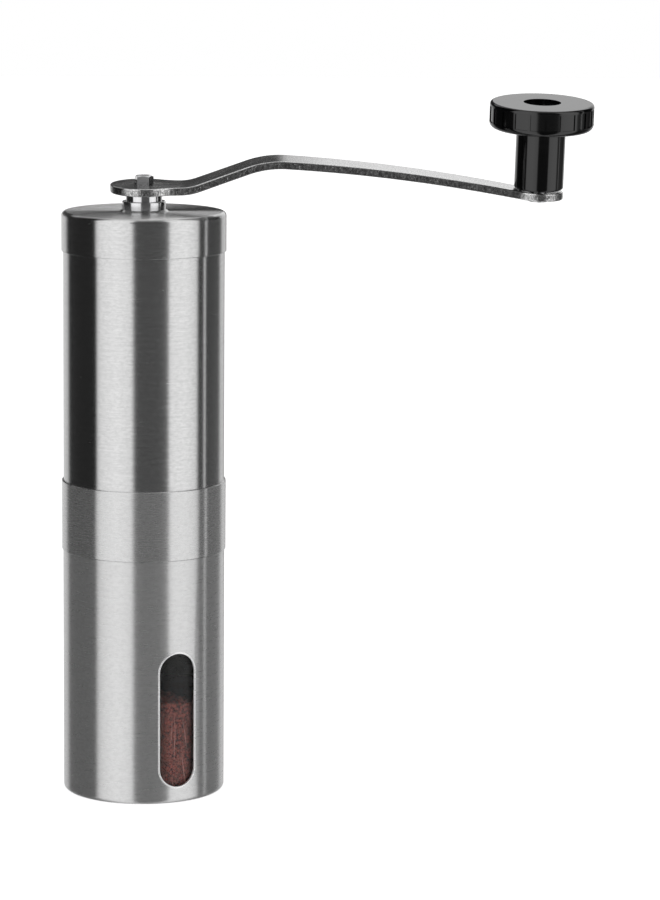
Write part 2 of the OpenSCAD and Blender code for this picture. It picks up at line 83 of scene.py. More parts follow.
def make_camera():
    data = bpy.data.cameras.new("camera")
    data.lens = LENS
    data.sensor_width = SENSOR_WIDTH
    data.clip_start = CLIP_START
    cam = bpy.data.objects.new("camera", data)
    scene.collection.objects.link(cam)
    forward = Vector((math.sin(CAM_YAW), math.cos(CAM_YAW), -math.tan(CAM_PITCH)))
    look = forward.to_track_quat("-Z", "Y").to_matrix().to_4x4()
    place = Matrix.Translation((0, -CAM_DISTANCE, CAM_HEIGHT))
    cam.matrix_world = place @ look @ Matrix.Rotation(CAM_ROLL, 4, "Z")
    scene.camera = cam


# ---------------------------------------------------------------- node helpers


class Graph:
    """A node tree with short ways to add nodes and join them."""

    def __init__(self, tree):
        self.tree = tree
        self.nodes = tree.nodes
        self.links = tree.links

    def add(self, kind, **settings):
        node = self.nodes.new(kind)
        for key, value in settings.items():
            setattr(node, key, value)
        return node

    def set(self, socket, value):
        """Joins an output to the socket, or sets the socket's own value."""
        if isinstance(value, bpy.types.NodeSocket):
            self.links.new(value, socket)
        else:
            socket.default_value = value

    def math(self, operation, *values):
        node = self.add("ShaderNodeMath", operation=operation)
        for socket, value in zip(node.inputs, values):
            self.set(socket, value)
        return node.outputs[0]

    def vector(self, x, y, z):
        node = self.add("ShaderNodeCombineXYZ")
        for socket, value in zip(node.inputs, (x, y, z)):
            self.set(socket, value)
        return node.outputs[0]

    def noise(self, vector, scale, detail=2.0, roughness=0.5):
        node = self.add("ShaderNodeTexNoise")
        self.set(node.inputs["Vector"], vector)
        self.set(node.inputs["Scale"], scale)
        self.set(node.inputs["Detail"], detail)
        self.set(node.inputs["Roughness"], roughness)
        return node.outputs["Fac"]

    def streaks(self, across, across_scale, along, along_scale, seed, detail=2.0, roughness=0.5):
        """Noise stretched one way, by a different scale for each of two coordinates."""
        place = self.vector(self.math("MULTIPLY", across, across_scale),
                            self.math("MULTIPLY", along, along_scale), seed)
        return self.noise(place, 1.0, detail, roughness)

    def spread(self, value, low, high, to_low, to_high):
        """Maps low..high to to_low..to_high, clamped."""
        node = self.add("ShaderNodeMapRange")
        for key, v in zip(("Value", "From Min", "From Max", "To Min", "To Max"),
                          (value, low, high, to_low, to_high)):
            self.set(node.inputs[key], v)
        return node.outputs["Result"]

    def mix(self, fac, a, b):
        """Mixes two colours."""
        node = self.add("ShaderNodeMix", data_type="RGBA")
        self.set(node.inputs["Factor"], fac)
        self.set(node.inputs[6], (*a, 1.0) if isinstance(a, tuple) else a)
        self.set(node.inputs[7], (*b, 1.0) if isinstance(b, tuple) else b)
        return node.outputs[2]

    def bump(self, height, strength, distance):
        node = self.add("ShaderNodeBump")
        self.set(node.inputs["Height"], height)
        self.set(node.inputs["Strength"], strength)
        self.set(node.inputs["Distance"], distance)
        return node.outputs["Normal"]

    def position(self):
        node = self.add("ShaderNodeTexCoord")
        return node.outputs["Object"]

    def split(self, vector):
        node = self.add("ShaderNodeSeparateXYZ")
        self.set(node.inputs[0], vector)
        return node.outputs


def new_material(name):
    """An empty material, its graph and its Principled shader."""
    material = bpy.data.materials.new(name)
    material.use_nodes = True
    graph = Graph(material.node_tree)
    shader = graph.nodes["Principled BSDF"]
    return material, graph, shader


def finish_shader(shader, **values):
    """Sets the shader's own sockets, which take no link."""
    names = {"metallic": "Metallic", "ior": "IOR", "anisotropic": "Anisotropic",
             "turn": "Anisotropic Rotation", "transmission": "Transmission Weight",
             "specular": "Specular IOR Level", "roughness": "Roughness"}
    for key, value in values.items():
        shader.inputs[names[key]].default_value = value


def grey(value):
    return (value, value, value)


def shade(tint, factor):
    """The colour, darker or lighter by a factor."""
    return tuple(min(1.0, c * factor) for c in tint)


# ---------------------------------------------------------------- studio

# Brightness of the studio round the object, as (bearing in degrees, value): 0 is -Y, 90 is +X.
# Two bright panels stand in front with a grey one between, dark flags at the sides with a
# light strip in the right one, and pale walls behind.
FLAGS = ((-132, 0.02), (-73, 0.02), (-69, 1.05), (-40, 1.15), (-18, 1.0), (-13, 0.08),
         (34, 0.08), (38, 1.05), (60, 1.15), (81, 1.0), (85, 0.015), (94.8, 0.015),
         (95.8, 1.0), (98.4, 1.0), (99.4, 0.015), (134, 0.015))
FLAGS_LOW = ((-132, 0.05), (-73, 0.05), (-69, 1.0), (-40, 1.1), (-18, 0.95), (-12, 0.24),
             (34, 0.24), (38, 1.0), (60, 1.05), (81, 0.95), (86, 0.22), (94.8, 0.24),
             (96, 0.9), (98.4, 0.9), (100, 0.28), (134, 0.32))
RING_FLOOR = ((-180, 0.6), (-142, 0.5), (-132, 0.02), (-73, 0.02), (-69, 0.95), (-40, 1.05),
              (-18, 0.9), (-13, 0.04), (34, 0.05), (38, 0.95), (60, 1.0), (81, 0.9), (86, 0.06),
              (134, 0.08), (144, 0.5), (180, 0.5))
RING_LOW = ((-180, 0.75), (-142, 0.65), *FLAGS_LOW, (144, 0.65), (165, 0.6), (168, 0.06),
            (180, 0.06))
RING_LEVEL = ((-180, 0.9), (-142, 0.65), *FLAGS, (144, 0.65), (165, 0.6), (168, 0.03),
              (180, 0.03))
RING_HIGH = ((-180, 0.05), (-150, 0.05), *FLAGS, (144, 0.6), (160, 0.86), (176.6, 0.88),
             (177.8, 0.06), (180, 0.05))
# A softbox high up behind, which draws the bright lines along the edges
RING_SOFTBOX = ((-180, 0.5), (-150, 0.5), (-145, 0.9), *FLAGS, (145, 0.8), (150, 1.6), (177, 1.6),
                (179, 0.8), (180, 0.6))
RING_SKY = ((-180, 0.7), (-142, 0.7), *FLAGS, (144, 0.7), (180, 0.7))
# Each ring holds between two values of the direction's z, and blends into the next between
# them. The first one holds from straight down.
RINGS = ((RING_FLOOR, -1.0, -0.29), (RING_LOW, -0.265, -0.22), (RING_LEVEL, -0.12, 0.075),
         (RING_HIGH, 0.10, 0.46), (RING_SOFTBOX, 0.50, 0.68), (RING_SKY, 0.72, 0.86))
SKY = 0.62
SKY_FROM = 0.92
WHITE = grey(1.0)


def ring(graph, turn, stops):
    """Brightness by bearing: turn runs from 0 at -180 degrees to 1 at 180."""
    ramp = graph.add("ShaderNodeValToRGB")
    graph.set(ramp.inputs["Fac"], turn)
    elements = ramp.color_ramp.elements
    for index, (bearing, value) in enumerate(stops):
        place = (bearing + 180.0) / 360.0
        stop = elements[index] if index < 2 else elements.new(place)
        stop.position = place
        stop.color = (value, value, value, 1.0)
    return ramp.outputs["Color"]


def make_world():
    """A white room. What mirrors it sees panels and dark flags standing round the object."""
    world = bpy.data.worlds.new("studio")
    world.use_nodes = True
    scene.world = world
    graph = Graph(world.node_tree)
    background = graph.nodes["Background"]
    x, y, z = graph.split(graph.add("ShaderNodeTexCoord").outputs["Generated"])
    bearing = graph.math("ARCTAN2", x, graph.math("MULTIPLY", y, -1.0))
    turn = graph.math("ADD", graph.math("DIVIDE", bearing, math.tau), 0.5)
    stops, _, top = RINGS[0]
    colour = ring(graph, turn, stops)
    for stops, start, end in RINGS[1:]:
        blend = graph.spread(z, top, start, 0.0, 1.0)
        colour = graph.mix(blend, colour, ring(graph, turn, stops))
        top = end
    colour = graph.mix(graph.spread(z, top, SKY_FROM, 0.0, 1.0), colour, grey(SKY))
    seen = graph.add("ShaderNodeLightPath").outputs["Is Camera Ray"]
    graph.set(background.inputs["Color"], graph.mix(seen, colour, WHITE))


FLOOR_REACH = 3.0
FLOOR_DROP = 0.0002
FLOOR_GLOW = 0.72


def make_floor():
    """A plain white floor, which the steel doesn't mirror."""
    mesh = bpy.data.meshes.new("floor")
    reach = FLOOR_REACH
    corners = [(-reach, -reach, 0), (reach, -reach, 0), (reach, reach, 0), (-reach, reach, 0)]
    mesh.from_pydata(corners, [], [(0, 1, 2, 3)])
    floor = bpy.data.objects.new("floor", mesh)
    scene.collection.objects.link(floor)
    floor.location.z = cad_box[0][2] - FLOOR_DROP
    material, _, shader = new_material("floor")
    shader.inputs["Base Color"].default_value = (*grey(0.9), 1.0)
    shader.inputs["Emission Color"].default_value = (*WHITE, 1.0)
    shader.inputs["Emission Strength"].default_value = FLOOR_GLOW
    finish_shader(shader, roughness=0.9, specular=0.0)
    floor.data.materials.append(material)
    floor.visible_glossy = False


# ---------------------------------------------------------------- materials


def lathe_position(graph):
    """(bearing, distance along the turned profile), with the seam at the back."""
    x, y, z = graph.split(graph.position())
    bearing = graph.math("ARCTAN2", x, graph.math("MULTIPLY", y, -1.0))
    radius = graph.math("SQRT", graph.math("ADD", graph.math("MULTIPLY", x, x),
                                           graph.math("MULTIPLY", y, y)))
    return bearing, graph.math("ADD", z, radius)


def brushed_round(name, tint, roughness, streak, metallic, relief):
    """Steel brushed round its own axis: hair lines at three widths, a little wear and haze."""
    material, graph, shader = new_material(name)
    bearing, along = lathe_position(graph)
    fine = graph.streaks(bearing, 5.0, along, 5200.0, 0.0, 3.0, 0.65)
    wide = graph.streaks(bearing, 2.6, along, 1300.0, 3.7, 3.0, 0.7)
    haze = graph.noise(graph.position(), 38.0, 3.0, 0.6)
    lines = graph.math("ADD", graph.math("MULTIPLY", fine, 0.55),
                       graph.math("MULTIPLY", wide, 0.45))
    colour = graph.mix(graph.spread(lines, 0.36, 0.64, 0.0, 1.0),
                       shade(tint, 1.0 - streak), shade(tint, 1.0 + streak))
    ripple = graph.streaks(bearing, 16.0, along, 1100.0, 8.1, 2.0, 0.6)
    colour = graph.mix(graph.spread(ripple, 0.42, 0.72, 0.0, 0.7), colour, shade(tint, 0.86))
    graph.set(shader.inputs["Base Color"],
              graph.mix(graph.spread(haze, 0.5, 0.78, 0.0, 0.45), colour, shade(tint, 0.965)))
    graph.set(shader.inputs["Roughness"],
              graph.spread(lines, 0.3, 0.7, roughness * 0.86, roughness * 1.16))
    graph.set(shader.inputs["Normal"], graph.bump(lines, relief, 0.00003))
    tangent = graph.add("ShaderNodeTangent", direction_type="RADIAL", axis="Z")
    graph.set(shader.inputs["Tangent"], tangent.outputs["Tangent"])
    finish_shader(shader, metallic=metallic, anisotropic=1.0, turn=0.25)
    return material


def polished_steel(name, tint, roughness, metallic=1.0):
    """Bright turned steel with faint turning marks."""
    material, graph, shader = new_material(name)
    bearing, along = lathe_position(graph)
    marks = graph.streaks(bearing, 1.2, along, 4200.0, 1.0)
    smudge = graph.noise(graph.position(), 160.0, 3.0)
    graph.set(shader.inputs["Base Color"], graph.mix(smudge, shade(tint, 0.94), tint))
    graph.set(shader.inputs["Roughness"],
              graph.spread(smudge, 0.3, 0.7, roughness * 0.75, roughness * 1.4))
    graph.set(shader.inputs["Normal"], graph.bump(marks, 0.18, 0.00002))
    finish_shader(shader, metallic=metallic)
    return material


def arm_face_steel():
    """Top of the arm: tumbled, with fine grain over scratches that run along its length."""
    material, graph, shader = new_material("arm_face_steel")
    x, y, z = graph.split(graph.position())
    scratch = graph.streaks(x, 190.0, y, 3800.0, graph.math("MULTIPLY", z, 400.0), 3.0, 0.7)
    grain = graph.noise(graph.position(), 2300.0, 2.0, 0.7)
    wear = graph.noise(graph.position(), 140.0, 3.0)
    colour = graph.mix(graph.spread(grain, 0.38, 0.62, 0.0, 1.0), grey(0.44), grey(0.84))
    graph.set(shader.inputs["Base Color"],
              graph.mix(graph.spread(scratch, 0.45, 0.7, 0.0, 0.6), colour, grey(0.80)))
    graph.set(shader.inputs["Roughness"], graph.spread(wear, 0.3, 0.7, 0.15, 0.24))
    height = graph.math("ADD", scratch, graph.math("MULTIPLY", grain, 0.9))
    graph.set(shader.inputs["Normal"], graph.bump(height, 0.25, 0.00004))
    finish_shader(shader, metallic=1.0)
    return material


def arm_edge_steel():
    """Edge of the arm as it was blanked: upright tears and pits, with bright specks."""
    material, graph, shader = new_material("arm_edge_steel")
    x, y, z = graph.split(graph.position())
    tears = graph.streaks(x, 1300.0, y, 1300.0, graph.math("MULTIPLY", z, 650.0), 4.0, 0.75)
    specks = graph.noise(graph.position(), 1500.0, 2.0, 0.6)
    pits = graph.noise(graph.position(), 420.0, 3.0, 0.6)
    colour = graph.mix(graph.spread(tears, 0.36, 0.66, 0.0, 1.0), grey(0.16), grey(0.66))
    colour = graph.mix(graph.spread(specks, 0.60, 0.68, 0.0, 1.0), colour, grey(0.95))
    graph.set(shader.inputs["Base Color"], colour)
    graph.set(shader.inputs["Roughness"], graph.spread(pits, 0.3, 0.7, 0.14, 0.30))
    height = graph.math("ADD", tears, graph.math("MULTIPLY", pits, 1.2))
    graph.set(shader.inputs["Normal"], graph.bump(height, 0.6, 0.00012))
    finish_shader(shader, metallic=1.0)
    return material


def gloss_black():
    """Moulded black plastic: deep, with faint flow marks and fingerprints in the gloss."""
    material, graph, shader = new_material("knob_plastic")
    flow = graph.noise(graph.position(), 90.0, 3.0, 0.6)
    dust = graph.noise(graph.position(), 2400.0, 2.0, 0.6)
    graph.set(shader.inputs["Base Color"],
              graph.mix(graph.spread(dust, 0.66, 0.8, 0.0, 0.5), (0.0006, 0.0006, 0.0007),
                        grey(0.004)))
    graph.set(shader.inputs["Roughness"], graph.spread(flow, 0.3, 0.75, 0.07, 0.14))
    graph.set(shader.inputs["Normal"], graph.bump(flow, 0.04, 0.0004))
    finish_shader(shader, ior=1.65)
    return material


def matt_plastic(name, tint, roughness):
    """Satin moulded plastic with a fine spark-eroded grain."""
    material, graph, shader = new_material(name)
    grain = graph.noise(graph.position(), 3800.0, 3.0, 0.6)
    cloud = graph.noise(graph.position(), 120.0, 2.0)
    light = tuple(min(1.0, c * 1.5 + 0.004) for c in tint)
    graph.set(shader.inputs["Base Color"],
              graph.mix(graph.spread(cloud, 0.3, 0.7, 0.0, 1.0), tint, light))
    graph.set(shader.inputs["Roughness"],
              graph.spread(grain, 0.3, 0.7, roughness * 0.85, roughness * 1.15))
    graph.set(shader.inputs["Normal"], graph.bump(grain, 0.3, 0.00004))
    return material


def clear_plastic():
    """Clear moulded liner, lightly scuffed by the coffee."""
    material, graph, shader = new_material("clear_plastic")
    bearing, along = lathe_position(graph)
    scuffs = graph.streaks(bearing, 60.0, along, 260.0, 0.0, 3.0, 0.6)
    graph.set(shader.inputs["Base Color"],
              graph.mix(scuffs, (0.90, 0.92, 0.92), (0.97, 0.98, 0.98)))
    graph.set(shader.inputs["Roughness"], graph.spread(scuffs, 0.5, 0.75, 0.0, 0.06))
    finish_shader(shader, transmission=1.0, ior=1.25, specular=0.1)
    return material


def ceramic():
    """Fired white ceramic with fine pores and brown coffee stain in its hollows."""
    material, graph, shader = new_material("burr_ceramic")
    pores = graph.noise(graph.position(), 2600.0, 3.0, 0.65)
    stain = graph.noise(graph.position(), 150.0, 4.0, 0.6)
    clean = graph.mix(pores, (0.74, 0.72, 0.67), (0.86, 0.85, 0.82))
    graph.set(shader.inputs["Base Color"],
              graph.mix(graph.spread(stain, 0.50, 0.78, 0.0, 0.55), clean, (0.36, 0.24, 0.15)))
    graph.set(shader.inputs["Roughness"], graph.spread(pores, 0.3, 0.7, 0.42, 0.62))
    graph.set(shader.inputs["Normal"], graph.bump(pores, 0.3, 0.00005))
    return material


def turned_metal(name, tint, roughness):
    """Bronze or brass with turning marks and a slight tarnish."""
    material, graph, shader = new_material(name)
    bearing, along = lathe_position(graph)
    marks = graph.streaks(bearing, 1.5, along, 3200.0, 0.0)
    tarnish = graph.noise(graph.position(), 320.0, 3.0)
    graph.set(shader.inputs["Base Color"],
              graph.mix(graph.spread(tarnish, 0.35, 0.75, 0.0, 0.8), tint, shade(tint, 0.62)))
    graph.set(shader.inputs["Roughness"],
              graph.spread(tarnish, 0.3, 0.7, roughness, roughness * 1.5))
    graph.set(shader.inputs["Normal"], graph.bump(marks, 0.3, 0.00004))
    finish_shader(shader, metallic=1.0)
    return material


def rubber():
    """Matt black rubber with a faint bloom."""
    material, graph, shader = new_material("seal_rubber")
    bloom = graph.noise(graph.position(), 500.0, 3.0)
    graph.set(shader.inputs["Base Color"], graph.mix(bloom, grey(0.010), (0.035, 0.035, 0.034)))
    graph.set(shader.inputs["Roughness"], graph.spread(bloom, 0.3, 0.7, 0.6, 0.85))
    finish_shader(shader, specular=0.3)
    return material


# How far along its profile the coffee's threads meet, in metres
FALL_HEIGHT = 0.066


def coffee_material():
    """Ground coffee: reddish brown grains with painted shade in the gaps between them, pale
    threads of chaff, and painted shade away from the window's centre line.
    """
    material, graph, shader = new_material("ground_coffee")
    bearing, along = lathe_position(graph)
    voronoi = graph.add("ShaderNodeTexVoronoi")
    graph.set(voronoi.inputs["Vector"], graph.position())
    graph.set(voronoi.inputs["Scale"], 1250.0)
    grain = voronoi.outputs["Distance"]
    patch = graph.noise(graph.position(), 300.0, 3.0, 0.6)
    # The threads fan out downwards from where the coffee fell
    fan = graph.math("DIVIDE", graph.math("SUBTRACT", bearing, SLOT_BEARING - 0.05),
                     graph.math("SUBTRACT", FALL_HEIGHT, along))
    bent = graph.math("ADD", graph.math("MULTIPLY", fan, 1.1),
                      graph.math("MULTIPLY", graph.noise(graph.position(), 70.0, 1.0), 5.0))
    thread = graph.noise(graph.vector(bent, graph.math("MULTIPLY", along, 60.0), 5.0),
                         1.0, 1.5, 0.4)
    # Painted shade: each grain darkens towards its edge, so the gaps between grains read as
    # shaded
    colour = graph.mix(graph.spread(grain, 0.15, 0.75, 0.0, 1.0),
                       (0.34, 0.070, 0.052), (0.035, 0.008, 0.007))
    colour = graph.mix(graph.spread(patch, 0.4, 0.7, 0.0, 0.6), colour, (0.30, 0.11, 0.085))
    colour = graph.mix(graph.spread(thread, 0.60, 0.66, 0.0, 0.55), colour, (0.52, 0.24, 0.20))
    # Painted shade: the coffee darkens to nearly black away from the window's centre line, where
    # the cup's wall shades it
    aside = graph.math("ABSOLUTE", graph.math("SUBTRACT", bearing, SLOT_BEARING + 0.02))
    painted_shade_mask = graph.math("ADD", aside, graph.math("MULTIPLY", patch, 0.09))
    colour = graph.mix(graph.spread(painted_shade_mask, 0.17, 0.29, 0.0, 0.8), colour, (0.012, 0.005, 0.004))
    graph.set(shader.inputs["Base Color"], colour)
    graph.set(shader.inputs["Roughness"], graph.spread(patch, 0.3, 0.7, 0.7, 0.95))
    graph.set(shader.inputs["Normal"], graph.bump(grain, 0.8, 0.0003))
    return material


STEEL = grey(0.70)
BRIGHT = (0.80, 0.80, 0.81)


def make_materials():
    """One material for each of the record's slots, and the looks that scene pieces add."""
    return {
        "body_steel": brushed_round("body_steel", STEEL, 0.24, 0.10, 1.0, 0.25),
        "band_steel": brushed_round("band_steel", STEEL, 0.27, 0.03, 0.87, 0.16),
        "cup_steel": brushed_round("cup_steel", STEEL, 0.29, 0.06, 0.84, 0.22),
        # Steel lightened by a white diffuse share of about 40 percent: painted highlight along
        # the window's rim
        "edge_highlight_steel": polished_steel("edge_highlight_steel", grey(0.93), 0.26, 0.6),
        "bright_steel": polished_steel("bright_steel", BRIGHT, 0.12),
        "spring_steel": polished_steel("spring_steel", (0.58, 0.58, 0.60), 0.25),
        "arm_steel": arm_face_steel(),
        "arm_edge": arm_edge_steel(),
        "clear_plastic": clear_plastic(),
        "black_plastic": matt_plastic("black_plastic", (0.012, 0.012, 0.013), 0.42),
        "grey_plastic": matt_plastic("grey_plastic", (0.16, 0.16, 0.165), 0.45),
        "bush_bronze": turned_metal("bush_bronze", (0.62, 0.40, 0.22), 0.32),
        "insert_brass": turned_metal("insert_brass", (0.86, 0.62, 0.28), 0.22),
        "burr_ceramic": ceramic(),
        "seal_rubber": rubber(),
        "knob_plastic": gloss_black(),
        "coffee": coffee_material(),
    }


def dress_nodes(materials):
    """Gives every CAD node the material of its slot."""
    own = {"ground_cup": "cup_steel", "middle_band": "band_steel"}
    for part in frame["record"]["subparts"]:
        node = nodes[part["node"]]
        node.data.materials.clear()
        node.data.materials.append(materials[own.get(part["node"], part["material_slot"])])


# ---------------------------------------------------------------- pieces


def add_piece(name, bm, body, slot, *piece_materials):
    """Makes an object of the mesh, smooth, riding on a body."""
    mesh = bpy.data.meshes.new(name)
    bmesh.ops.recalc_face_normals(bm, faces=bm.faces)
    bm.to_mesh(mesh)
    bm.free()
    for material in piece_materials:
        mesh.materials.append(material)
    for polygon in mesh.polygons:
        polygon.use_smooth = True
    obj = bpy.data.objects.new(name, mesh)
    scene.collection.objects.link(obj)
    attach(obj, body)
    return obj


FLAT_ANGLE = math.radians(0.6)


def merge_flats(node):
    """Merges a CAD node's flat faces. It opens a few thin slits in the mesh."""
    flat = nodes[node].modifiers.new("flat", "DECIMATE")
    flat.decimate_type = "DISSOLVE"
    flat.angle_limit = FLAT_ANGLE


# The arm as the CAD model has it, in mm, in its own frame: x from the shaft, y across, z up
# from the hub's underside
HUB_Z = 176.85
ARM_T = 2.3
ARM_LEAN = math.radians(4.2)
HUB_R = 9.8
EYE_R = 7.15
THROW = 114.8
STRIP_HUB = 7.0
STRIP_EYE = 5.4
HUB_WAIST = 14.0
EYE_WAIST = 6.0
EYE_DROP = 1.44
HEAD_HOLE_R = 3.15
HEAD_SIDES = 5
HEAD_TURN = math.radians(12)
POST_HOLE_R = 2.62
POST_HOLE_SIDES = 48
# The path starts this far beyond the hub, so that the outline lies inside it
HUB_OVERRUN = 4
HUB_FLAT = 10.4
# Straights (length, None) and bends (radius, angle where they end, in degrees)
ARM_STEPS = ((HUB_FLAT + HUB_R + HUB_OVERRUN, None), (15, 19.8), (14.9, None), (30, -3.5),
             (511, -10.5), (6.6, None), (9, -2.2), (30, None))
PATH_STEP = 0.12
SLOPE_REACH = 0.2


def arm_path():
    """Points along the arm's top face: (x, z, angle), close together."""
    x, z, angle = -HUB_R - HUB_OVERRUN, ARM_T, 0.0
    points = [(x, z, angle)]
    for length, end in ARM_STEPS:
        if end is None:
            count = max(2, round(length / PATH_STEP))
            turn = 0.0
            hop = length / count
        else:
            end = math.radians(end)
            arc = length * abs(end - angle)
            count = max(4, round(arc / PATH_STEP))
            turn = (end - angle) / count
            hop = arc / count
        for _ in range(count):
            x += hop * math.cos(angle + turn / 2)
            z += hop * math.sin(angle + turn / 2)
            angle += turn
            points.append((x, z, angle))
    return points


class ArmSide:
    """The arm's side view: heights of its top and bottom faces at x."""

    def __init__(self):
        path = arm_path()
        self.top = [(x, z) for x, z, _ in path]
        self.low = [(x + ARM_T * math.sin(a), z - ARM_T * math.cos(a)) for x, z, a in path]

    def at(self, line, x):
        """Height of the line at x."""
        low, high = 0, len(line) - 1
        while high - low > 1:
            middle = (low + high) // 2
            if line[middle][0] <= x:
                low = middle
            else:
                high = middle
        (x0, z0), (x1, z1) = line[low], line[high]
        return z0 + (z1 - z0) * (x - x0) / (x1 - x0)

    def height(self, x, depth):
        """Height at a depth below the top face, if positive, or above the bottom, if negative."""
        line = self.top if depth >= 0 else self.low
        rise = self.at(line, x + SLOPE_REACH) - self.at(line, x - SLOPE_REACH)
        slope = rise / (2 * SLOPE_REACH)
        return self.at(line, x) - depth * math.sqrt(1 + slope * slope)


def waist(x, r, fillet, side):
    """Centre of the hollow corner beside a round end, and its bearing from the end's centre."""
    reach = x + side * r * 1.4
    half = STRIP_HUB + (STRIP_EYE - STRIP_HUB) * reach / THROW
    bearing = math.pi / 2 - side * math.acos((half + fillet) / (r + fillet))
    centre = (x + (r + fillet) * math.cos(bearing), (r + fillet) * math.sin(bearing))
    return centre, bearing


def arm_half_outline():
    """(x, y, outward x, outward y) along the arm's +Y edge, from the hub's end to the eye's."""
    points = []

    def arc(cx, cy, r, start, end, count, hollow=False):
        for i in range(count + 1):
            a = start + (end - start) * i / count
            out = -1 if hollow else 1
            points.append((cx + r * math.cos(a), cy + r * math.sin(a),
                           out * math.cos(a), out * math.sin(a)))

    (hx, hy), hub_bearing = waist(0, HUB_R, HUB_WAIST, 1)
    (ex, ey), eye_bearing = waist(THROW, EYE_R, EYE_WAIST, -1)
    arc(0, 0, HUB_R, math.pi, hub_bearing, 48)
    arc(hx, hy, HUB_WAIST, hub_bearing - math.pi, -math.pi / 2, 14, True)
    start, end = points[-1], (ex, ey - EYE_WAIST)
    slope = math.atan2(end[1] - start[1], end[0] - start[0])
    count = 160
    for i in range(1, count):
        t = i / count
        points.append((start[0] + (end[0] - start[0]) * t,
                       start[1] + (end[1] - start[1]) * t,
                       -math.sin(slope), math.cos(slope)))
    arc(ex, ey, EYE_WAIST, -math.pi / 2, eye_bearing - math.pi, 12, True)
    arc(THROW, 0, EYE_R, eye_bearing, 0, 44)
    return points


def arm_point(side, x, y, depth):
    """A point of the arm, in metres in the shared frame."""
    local = Vector((x, y, side.height(x, depth)))
    local.rotate(Matrix.Rotation(ARM_LEAN, 3, "X"))
    return (local + Vector((0, 0, HUB_Z))) * MM


CUTTER_LENGTH = 12


def cut_hole(obj, centre, r, sides, turn):
    """Cuts a straight hole through the piece, down the arm's own frame, with blanked walls."""
    bm = bmesh.new()
    bmesh.ops.create_cone(bm, cap_ends=True, segments=sides, radius1=r, radius2=r,
                          depth=CUTTER_LENGTH)
    bmesh.ops.rotate(bm, verts=bm.verts, matrix=Matrix.Rotation(turn, 3, "Z"))
    bmesh.ops.translate(bm, verts=bm.verts, vec=centre)
    bmesh.ops.rotate(bm, verts=bm.verts, matrix=Matrix.Rotation(ARM_LEAN, 3, "X"))
    bmesh.ops.translate(bm, verts=bm.verts, vec=(0, 0, HUB_Z))
    bmesh.ops.scale(bm, verts=bm.verts, vec=(MM, MM, MM))
    mesh = bpy.data.meshes.new("cutter")
    bm.to_mesh(mesh)
    bm.free()
    mesh.materials.append(obj.data.materials[1])
    cutter = bpy.data.objects.new("cutter", mesh)
    scene.collection.objects.link(cutter)
    boolean = obj.modifiers.new("hole", "BOOLEAN")
    boolean.operation = "DIFFERENCE"
    boolean.solver = "EXACT"
    boolean.object = cutter
    evaluated = obj.evaluated_get(bpy.context.evaluated_depsgraph_get())
    cut = bpy.data.meshes.new_from_object(evaluated)
    obj.modifiers.clear()
    obj.data = cut
    bpy.data.objects.remove(cutter)


# Rolled edges of the arm: their radius, how far in the rim reaches, and steps in the curve
ROLL_R = 0.38
ROLL_REACH = 0.55
ROLL_STEPS = 4
# A height of nothing that still counts as measured from the bottom face
AT_BOTTOM = 1e-6


def make_arm(materials):
    """The bent strap: flat faces, rolled edges, blanked sides, and holes for shaft and post."""
    side = ArmSide()
    half = arm_half_outline()
    outline = half + [(x, -y, ox, -oy) for x, y, ox, oy in reversed(half[1:-1])]
    count = len(outline)
    roll, hold, steps = ROLL_R, ROLL_REACH, ROLL_STEPS
    # Rings of (inset, depth below the top face, or minus the height above the bottom face)
    curve = [(roll * (1 - math.sin(a)), roll * (1 - math.cos(a)))
             for a in (math.pi / 2 * i / steps for i in range(steps + 1))]
    rings = [(hold, 0.0)] + curve + [(i, -d) for i, d in reversed(curve[1:])]
    rings += [(roll, -AT_BOTTOM), (hold, -AT_BOTTOM)]
    bm = bmesh.new()
    loops = [[bm.verts.new(arm_point(side, x - ox * inset, y - oy * inset, depth))
              for x, y, ox, oy in outline] for inset, depth in rings]
    wall = steps + 1
    for r in range(len(loops) - 1):
        for i in range(count):
            j = (i + 1) % count
            face = bm.faces.new((loops[r][i], loops[r][j], loops[r + 1][j], loops[r + 1][i]))
            face.material_index = 1 if r == wall else 0
    last = len(half) - 1
    for loop in (loops[0], loops[-1]):
        for i in range(last):
            a, b = loop[i], loop[i + 1]
            c, d = loop[(count - i - 1) % count], loop[(count - i) % count]
            corners = [v for k, v in enumerate((a, b, c, d)) if v not in (a, b, c, d)[:k]]
            if len(corners) > 2:
                bm.faces.new(corners)
    arm = add_piece("arm", bm, "arm", "arm_steel", materials["arm_steel"], materials["arm_edge"])
    cut_hole(arm, (0, 0, 0), HEAD_HOLE_R, HEAD_SIDES, HEAD_TURN)
    cut_hole(arm, (THROW, 0, ARM_T - EYE_DROP), POST_HOLE_R, POST_HOLE_SIDES, 0.0)
    weighted = arm.modifiers.new("normals", "WEIGHTED_NORMAL")
    weighted.keep_sharp = True
    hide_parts("crank_arm")


def slot_outline(count):
    """(u, v, outward u, outward v) round the window, from its centre, evenly spaced."""
    r = SLOT_W / 2
    straight = SLOT_LEN - SLOT_W
    total = 2 * straight + math.tau * r
    points = []
    for i in range(count):
        s = total * i / count
        if s < straight:
            points.append((r, s - straight / 2, 1.0, 0.0))
            continue
        s -= straight
        if s < math.pi * r:
            a = s / r
            points.append((r * math.cos(a), straight / 2 + r * math.sin(a),
                           math.cos(a), math.sin(a)))
            continue
        s -= math.pi * r
        if s < straight:
            points.append((-r, straight / 2 - s, -1.0, 0.0))
            continue
        a = math.pi + (s - straight) / r
        points.append((r * math.cos(a), -straight / 2 + r * math.sin(a),
                       math.cos(a), math.sin(a)))
    return points


# Section of the window's edge: (distance out from the slot's side, height above the cup)
EDGE_PROFILE = ((-0.04, -0.72), (-0.05, -0.25), (-0.02, -0.08), (0.06, 0.01), (0.20, 0.05),
                (0.38, 0.05), (0.52, 0.01), (0.58, -0.06), (0.5, -0.3), (0.2, -0.72))
EDGE_POINTS = 300


